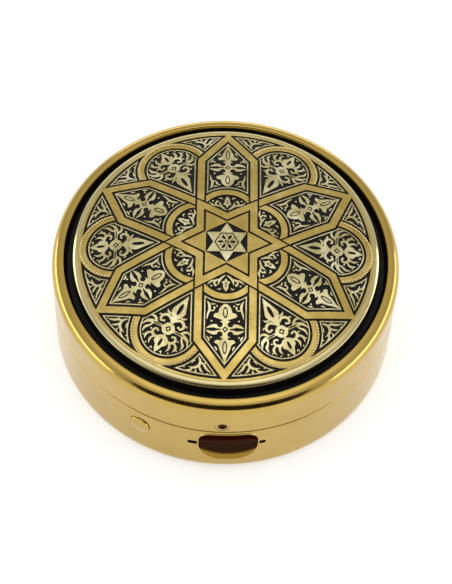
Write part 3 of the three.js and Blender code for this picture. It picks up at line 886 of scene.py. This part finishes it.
def spandrel_foliage():
    """A branching leaf for the corner between a petal, an arch and the border."""
    stem = [(3.2, 15.95), (3.0, 16.5), (3.2, 17.05), (3.8, 17.3), (4.5, 17.15)]
    gold = stroke(stem, [0.1, 0.3, 0.34, 0.3, 0.02])
    gold += strokes(
        ([(3.0, 16.6), (2.55, 16.95), (2.2, 17.5), (1.5, 18.1)], [0.2, 0.28, 0.28, 0.02]),
        ([(3.15, 17.1), (2.95, 17.6), (2.6, 18.0)], [0.2, 0.26, 0.02]),
        ([(3.9, 17.3), (4.3, 17.6), (5.1, 17.55)], [0.14, 0.24, 0.02]),
        ([(3.55, 16.35), (3.85, 16.45), (4.1, 16.8)], [0.06, 0.2, 0.02]),
        ([(3.5, 17.5), (3.6, 17.8), (3.95, 17.95)], [0.08, 0.2, 0.02]),
    )
    gold += [dot(2.1, 18.1, 0.11), dot(5.0, 17.15, 0.1), dot(2.35, 16.75, 0.1)]
    return gold, [], []


def centre_star():
    """A gold star with a rosette in a black-lined hexagon."""
    star = rotated(star_outline(1.48), 30)
    outside, inside = hexagon_outline(1.6), hexagon_outline(1.42)
    drops = [rotated(almond(0, 0.78, 0.2, 0.38), 60 * k + 30) for k in range(6)]
    drops += [rotated(almond(0, 1.02, 0.07, 0.16), 60 * k) for k in range(6)]
    ring = [dot(0, 0, 0.3)]
    return [star], [outside], [inside], drops + ring, [circle(0, 0, 0.16, 0.08)]


def painted(*layers):
    """Paints gold and black shapes in turn, gold first, and returns what stays gold."""
    shapes, colours = [], []
    for n, layer in enumerate(layers):
        shapes += layer
        colours += [n % 2 == 0] * len(layer)
    points, triangles, inside = triangulate(shapes)
    kept = [t for t, within in zip(triangles, inside) if within and colours[max(within)]]
    return points, kept


def foliage():
    """One piece for each kind of panel, repeated round the medallion."""
    petals = [60 * k for k in range(6)]
    arches = [60 * k + 30 for k in range(6)]
    for name, shapes, turns, mirror in (
        ("petal", petal_foliage(), petals, False),
        ("arch", arch_foliage(), arches, False),
        ("lunette", lunette_foliage(), petals, False),
        ("spandrel", spandrel_foliage(), petals, True),
        ("centre", centre_star(), (0,), False),
    ):
        points, kept = painted(*shapes)
        mesh = inlay_mesh(name, points, kept, LOW_INLAY, INLAY_T, turns, mirror)
        inlay(f"inlay_{name}_foliage", mesh, PALE_GOLD)


def arch_beading():
    """Rope of small beads along the outer edge of each arch."""
    bead_r, spacing, rope_r = 0.2, 0.4, ARCH_OUT - 0.2
    vertices, faces = [], []
    for k in range(6):
        count = math.floor(2 * math.pi * rope_r / spacing)
        for n in range(count):
            angle = 2 * math.pi * n / count
            x, y = rope_r * math.cos(angle), ARCH_AT + rope_r * math.sin(angle)
            bearing = math.degrees(math.atan2(x, y))
            u, v = rotated([(x, y)], -30 if bearing < 0 else 30)[0]
            if petal_level(u, v, STAR_OUT, TIP_LINE) < CUT or y < ARCH_SPRING:
                continue
            x, y = rotated([(x, y)], 60 * k + 30 + PATTERN_TURN)[0]
            add_bead(vertices, faces, x, y, bead_r)
    mesh = mesh_from("beads", vertices, faces, 60)
    new_object("inlay_arch_beading", mesh, "lid", BEAD_GOLD, slot="inlay_gold")


def add_bead(vertices, faces, x, y, r, sides=8):
    """Adds a low dome of radius r at a point of the pattern."""
    z = dome_z(math.hypot(x, y), 0.01)
    start = len(vertices)
    for ring_r, rise in ((r, -0.02), (r * 0.85, 0.1), (0.4 * r, 0.17)):
        for k in range(sides):
            a = 2 * math.pi * k / sides
            vertices.append((x + ring_r * math.cos(a), y + ring_r * math.sin(a), z + rise))
    for ring in (0, 1):
        faces += ring_faces(start + ring * sides, start + (ring + 1) * sides, sides)
    faces.append([start + 2 * sides + k for k in range(sides)])
    faces.append([start + k for k in reversed(range(sides))])


def medallion_plate():
    """Hollow domed plate whose side drops to the deck, with a ledge for the rim band."""
    ring_in, hollow_r, thickness = MEDAL_R - 0.75, 18.1, 1.4
    ledge = dome_z(MEDAL_R) - 0.45
    top = [(ring_in * k / 40, dome_z(ring_in * k / 40, RELIEF)) for k in range(41)]
    under = [(r, dome_z(r, thickness)) for r in (hollow_r, 14.0, 9.0, 4.0, 0.0)]
    side = rounded([
        (ring_in, dome_z(ring_in, RELIEF)), (ring_in, ledge), (MEDAL_R, ledge, 0.05),
        (MEDAL_R + 0.1, MEDAL_LOW_Z, 0.05), (hollow_r, MEDAL_LOW_Z), (hollow_r, dome_z(hollow_r, thickness)),
    ])
    mesh = turned_mesh("plate", top + side[1:-1] + under)
    new_object("medallion_ground", mesh, "lid", BLACK_STEEL_AND_SHADE, "medallion_plate", slot="black_steel")


def medallion_rim():
    """Polished band with a low crown round the edge of the plate."""
    inner = MEDAL_R - 0.76
    z0, z1 = dome_z(inner) - 0.02, dome_z(MEDAL_R) - 0.14
    crown = (MEDAL_R - 0.35, dome_z(MEDAL_R - 0.35) + 0.01)
    corners = [(inner, z1 - 0.3), (MEDAL_R, z1 - 0.3), (MEDAL_R, z1, 0.2), (*crown, 0.3), (inner, z0, 0.03)]
    profile = rounded(corners, closed=True)
    mesh = turned_mesh("rim", profile)
    new_object("medallion_band", mesh, "lid", RIM_GOLD, "medallion_rim", slot="rim_gold")


# ---- Button and latch --------------------------------------------------------

BUTTON_BACK_Y = -21.95
FOLD_Z, FOLD_HALF_H, FOLD_DEPTH = 7.4, 0.12, 0.08  # the crease across the button
FACE_LEAN = 0.25  # how much less the button stands out at its top

def button_painted_reflection():
    """Painted reflection: a gold lip below and a glossy dark brown panel above stand for the dark room
    mirrored in the face; a painted highlight runs along the fold.
    """
    look = Look("button_painted_reflection", Metallic=1.0)
    look.shader.inputs["Specular Tint"].default_value = (0.48, 0.435, 0.42, 1)
    place = look.nodes.new("ShaderNodeSeparateXYZ")
    look.links.new(look.coords, place.inputs[0])
    aside = look.math("SUBTRACT", place.outputs["X"], BUTTON_X * MM)
    bow = look.math("MULTIPLY", look.math("MULTIPLY", aside, aside), 0.07 / MM)
    wander = look.range(look.noise(160.0), -0.1 * MM, 0.1 * MM)
    level = look.math("ADD", look.math("SUBTRACT", place.outputs["Z"], bow), wander)
    up = look.range(level, 0, 1, BUTTON_LOW.z * MM, BUTTON_HIGH.z * MM)
    # Painted reflection: gold at the lip, then brown, then the dark panel that mirrors the dark room.
    gold, brown, dark = (0.33, 0.205, 0.035), (0.1, 0.05, 0.01), (0.024, 0.011, 0.006)
    panel = look.ramp(up, [(0.0, gold), (0.17, gold), (0.24, brown), (0.3, dark), (1.0, dark)])
    # Painted highlight: a reddish line along the fold.
    off_line = look.math("ABSOLUTE", look.math("SUBTRACT", place.outputs["Z"], FOLD_Z * MM), 0)
    mix = look.nodes.new("ShaderNodeMix")
    mix.data_type = "RGBA"
    look.links.new(look.range(off_line, 0.8, 0, 0.05 * MM, 0.12 * MM), mix.inputs[0])
    look.links.new(panel, mix.inputs["A"])
    mix.inputs["B"].default_value = (0.1, 0.018, 0.012, 1)
    look.set("Base Color", mix.outputs["Result"])
    look.set("Roughness", look.range(look.noise(700.0), 0.1, 0.2))
    look.bump((look.noise(6000.0), 0.15, 0.003))
    return look.material


BUTTON_PAINTED_REFLECTION = button_painted_reflection()


def face_out(x, z):
    """How far forward the button's face is: nearly flush at the top and proud at the bottom."""
    lean = FACE_LEAN * (z - BUTTON_LOW.z) / (BUTTON_HIGH.z - BUTTON_LOW.z)
    return math.sqrt(BUTTON_LOW.y ** 2 - x * x) - lean


def push_button():
    """D-shaped thumb button: a leaning cylindrical face with a fold line level with the slit."""
    half = (BUTTON_HIGH.x - BUTTON_LOW.x) / 2 + 0.5
    z0, z1 = BUTTON_LOW.z - 0.5, BUTTON_HIGH.z + 0.5
    rows = [(z0, 0), (FOLD_Z - FOLD_HALF_H, 0), (FOLD_Z, FOLD_DEPTH), (FOLD_Z + FOLD_HALF_H, 0), (z1, 0)]
    rings = []
    for k in range(49):
        x = BUTTON_X + half * (k / 24 - 1)
        front = [(x, -face_out(x, z) + sink, z) for z, sink in rows]
        rings.append([*front, (x, BUTTON_BACK_Y, z1), (x, BUTTON_BACK_Y, z0)])
    slab = tube_mesh("button", rings)
    cap = boolean(slab, [front_prism("outline", button_outline(0))], "INTERSECT")
    button = new_object("button_cap", cap, "button", BUTTON_PAINTED_REFLECTION, "push_button", slot="gold_shell")
    edge = button.modifiers.new("soft_edge", "BEVEL")
    edge.width = 0.22 * MM
    edge.segments = 3
    edge.angle_limit = math.radians(50)


def latch_spring():
    """Riveted strip along the wall."""
    low_z, top_z = low("leaf_spring").z, high("leaf_spring").z
    wall_r, arm_y, half_t, edge_r = 21.7, -20.03, 0.125, 0.05
    bearings = [math.radians(deg) for deg in range(-38, -19, 2)]
    line = [(wall_r * math.sin(a), -wall_r * math.cos(a)) for a in bearings]
    line = split_long([*line, (-5.2, arm_y - 0.17), (-3.9, arm_y), (2.6, arm_y)], 0.4)
    section = rounded([
        (-half_t, low_z, edge_r), (half_t, low_z, edge_r),
        (half_t, top_z, edge_r), (-half_t, top_z, edge_r),
    ], closed=True)
    rings = []
    for i, (x, y) in enumerate(line):
        before, after = line[max(i - 1, 0)], line[min(i + 1, len(line) - 1)]
        along = (Vector(after) - Vector(before)).normalized()
        rings.append([(x - along.y * t, y + along.x * t, z) for t, z in section])
    mesh = boolean(tube_mesh("spring", rings), [rivet_hole()])
    spring = new_object("latch_spring", mesh, None, SPRING_STEEL, "leaf_spring", slot="spring_steel")
    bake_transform(spring)


# ---- Looks of the CAD nodes that stay ---------------------------------------------

def dress(node, material):
    target = frame["nodes"][node]
    target.data.materials.clear()
    target.data.materials.append(material)


def dress_nodes():
    """Gives each carried-over node its material."""
    for node, material in (
        ("base_collar", GOLD_INNER), ("pill_tray", TRAY_PLASTIC),
        # Painted shade: the guide strip is darkened so the slit in front of it looks dark.
        ("base_hinge_leaf", GOLD), ("hinge_pin", SPRING_STEEL), ("guide_strip", GUIDE_STEEL_PAINTED_SHADE),
        ("catch_plate", SPRING_STEEL), ("lid_hinge_leaf", GOLD), ("lid_strike", GOLD_INNER),
        ("medallion_cement", CARD), ("mirror_glass", MIRROR), ("mirror_backing", CARD),
        ("mirror_ring", GOLD_INNER),
    ):
        dress(node, material)


# ---- Camera, light and floor -------------------------------------------------------

VIEW_BEARING = -3.0  # degrees from the front towards +X
VIEW_ELEVATION = 57.905
VIEW_DISTANCE = 12.124 * CASE_R
VIEW_ROLL = 2.64
VIEW_SIDE = 0.0091 * CASE_R  # the camera's own sideways and upward offsets
VIEW_UP = 0.1718 * CASE_R
LENS = 123.79


def camera():
    """Looks down at the front of the box with a long lens."""
    data = bpy.data.cameras.new("camera")
    data.lens = LENS
    data.sensor_width = 36.0
    eye = bpy.data.objects.new("camera", data)
    bpy.context.scene.collection.objects.link(eye)
    e = math.radians(VIEW_ELEVATION)
    back = Vector((0, -math.cos(e), math.sin(e)))
    up = Vector((0, math.sin(e), math.cos(e)))
    turn = Matrix.Rotation(math.radians(VIEW_BEARING), 4, "Z")
    place = turn @ (back * VIEW_DISTANCE + up * VIEW_UP + Vector((VIEW_SIDE, 0, 0)))
    eye.rotation_mode = "QUATERNION"
    aim = (turn @ -back).to_track_quat("-Z", "Y")
    roll = Matrix.Rotation(math.radians(VIEW_ROLL), 4, "Z").to_quaternion()
    eye.rotation_quaternion = aim @ roll
    eye.location = place * MM
    data.clip_start, data.clip_end = 0.01, 10
    bpy.context.scene.camera = eye


def area_light(name, bearing, elevation, distance, size, power, colour=(1, 1, 1)):
    """A soft light aimed at the middle of the box, lengths in millimetres."""
    data = bpy.data.lights.new(name, "AREA")
    data.shape = "RECTANGLE"
    data.size, data.size_y = (s * MM for s in size)
    data.energy = power
    data.color = colour
    lamp = bpy.data.objects.new(name, data)
    bpy.context.scene.collection.objects.link(lamp)
    back = outward(bearing, elevation)
    lamp.location = (back * distance + Vector((0, 0, 8))) * MM
    lamp.rotation_mode = "QUATERNION"
    lamp.rotation_quaternion = (-back).to_track_quat("-Z", "Y")


def stage_card(name, bearing, elevation, distance, size, colour):
    """A card that shows only in reflections on the box."""
    back = outward(bearing, elevation)
    half_w, half_h = size[0] / 2, size[1] / 2
    flat = [(-half_w, -half_h, 0), (half_w, -half_h, 0), (half_w, half_h, 0), (-half_w, half_h, 0)]
    place = Matrix.Translation(back * distance) @ (-back).to_track_quat("-Z", "Y").to_matrix().to_4x4()
    mesh = bpy.data.meshes.new(name)
    mesh.from_pydata([tuple((place @ Vector(p)) * MM) for p in flat], [], [[0, 1, 2, 3]])
    look = Look(name, Roughness=1.0)
    look.shader.inputs["Base Color"].default_value = (*colour, 1)
    look.shader.inputs["Specular IOR Level"].default_value = 0
    mesh.materials.append(look.material)
    panel = bpy.data.objects.new(name, mesh)
    bpy.context.scene.collection.objects.link(panel)
    panel.visible_camera = False
    panel.visible_shadow = False
    panel.visible_diffuse = False


def floor():
    """Plain white ground with a slight glow."""
    half = 1500
    mesh = bpy.data.meshes.new("floor")
    corners = [(-half, -half, 0), (half, -half, 0), (half, half, 0), (-half, half, 0)]
    mesh.from_pydata([tuple(c * MM for c in p) for p in corners], [], [[0, 1, 2, 3]])
    look = Look("floor", Roughness=0.9, Specular_IOR_Level=0.1, Emission_Strength=0.4)
    look.shader.inputs["Base Color"].default_value = (0.85, 0.85, 0.85, 1)
    look.shader.inputs["Emission Color"].default_value = (1, 1, 1, 1)
    mesh.materials.append(look.material)
    ground = bpy.data.objects.new("floor", mesh)
    bpy.context.scene.collection.objects.link(ground)


SKY = [(0.5, 0.66), (0.86, 0.82), (0.985, 1.5)]  # (height on the sky, brightness)


def world():
    """Soft surroundings, brighter overhead."""
    surroundings = bpy.data.worlds.new("world")
    surroundings.use_nodes = True
    nodes, links = surroundings.node_tree.nodes, surroundings.node_tree.links
    height = nodes.new("ShaderNodeSeparateXYZ")
    links.new(nodes.new("ShaderNodeTexCoord").outputs["Generated"], height.inputs[0])
    shade = nodes.new("ShaderNodeValToRGB")
    links.new(height.outputs["Z"], shade.inputs["Fac"])
    elements = shade.color_ramp.elements
    elements.new(SKY[1][0])
    for element, (position, level) in zip(elements, SKY):
        element.position = position
        element.color = (level, level, 0.985 * level, 1)
    links.new(shade.outputs["Color"], nodes["Background"].inputs["Color"])
    bpy.context.scene.world = surroundings
    bpy.context.scene.view_settings.view_transform = "Standard"


def studio():
    camera()
    world()
    floor()
    area_light("left_strip", -95, 11, 420, (560, 120), 0.62)
    area_light("right_strip", 90, 11, 420, (560, 120), 0.62)
    area_light("back_strip", 178, 10, 520, (420, 90), 0.3)
    stage_card("dark_room", -3, 25, 700, (1300, 640), (0.02, 0.012, 0.008))


# ---- Build -----------------------------------------------------------------------

studio()
base_shell()
window_edge()
lid_shell()
rivets()
medallion_plate()
medallion_rim()
strapwork()
foliage()
arch_beading()
push_button()
latch_spring()
dress_nodes()
